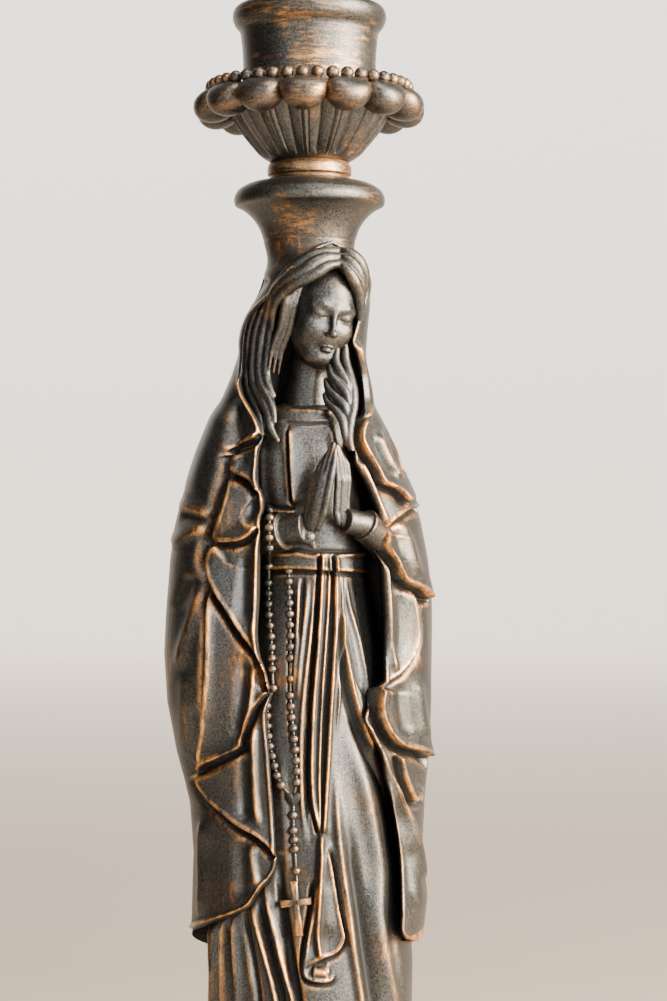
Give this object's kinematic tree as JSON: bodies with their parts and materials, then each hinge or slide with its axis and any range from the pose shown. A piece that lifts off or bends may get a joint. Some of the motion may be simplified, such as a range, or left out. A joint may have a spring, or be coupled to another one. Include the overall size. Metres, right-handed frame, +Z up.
{
  "type": "figural candlestick",
  "caption": "Candlestick shaped as a standing praying Madonna in veil and mantle, with a relief rosary, a lobed drip pan and a candle cup over her head, and a lift-out candle.",
  "frame": {"origin": "centre of the round resting face, on the underside of the felt", "axes": "+Z up along the tie rod and candle; the figure faces -Y, so her right hand is on -X"},
  "size_m": [0.092, 0.092, 0.3876],
  "materials": {
    "antique_bronze": "satin",
    "rod_steel": "satin",
    "felt": "matte",
    "wax": "satin",
    "wick_cotton": "matte"
  },
  "bodies": {
    "holder": {"felt_pad": "felt", "foot": "antique_bronze", "mound": "antique_bronze", "toes": "antique_bronze", "gown_skirt": "antique_bronze", "gown_bodice": "antique_bronze", "neck_band": "antique_bronze", "belt": "antique_bronze", "sash": "antique_bronze", "right_sleeve": "antique_bronze", "left_sleeve": "antique_bronze", "right_hand": "antique_bronze", "left_hand": "antique_bronze", "head": "antique_bronze", "hair": "antique_bronze", "hair_locks": "antique_bronze", "mantle": "antique_bronze", "veil": "antique_bronze", "mantle_right_fold": "antique_bronze", "mantle_left_fold": "antique_bronze", "rosary_beads": "antique_bronze", "rosary_links": "antique_bronze", "rosary_heart": "antique_bronze", "rosary_cross": "antique_bronze", "capital": "antique_bronze", "collar_ring": "antique_bronze", "drip_pan": "antique_bronze", "pearl_ring": "antique_bronze", "candle_cup": "antique_bronze", "tie_rod": "rod_steel", "rod_nuts": "rod_steel", "rod_washers": "rod_steel"},
    "candle": {"candle": "wax", "wick": "wick_cotton"}
  },
  "joints": [
    {"name": "candle_lift", "type": "slide", "parent": "holder", "child": "candle", "axis": [0, 0, 1], "range_m": [0, 0.025]}
  ]
}
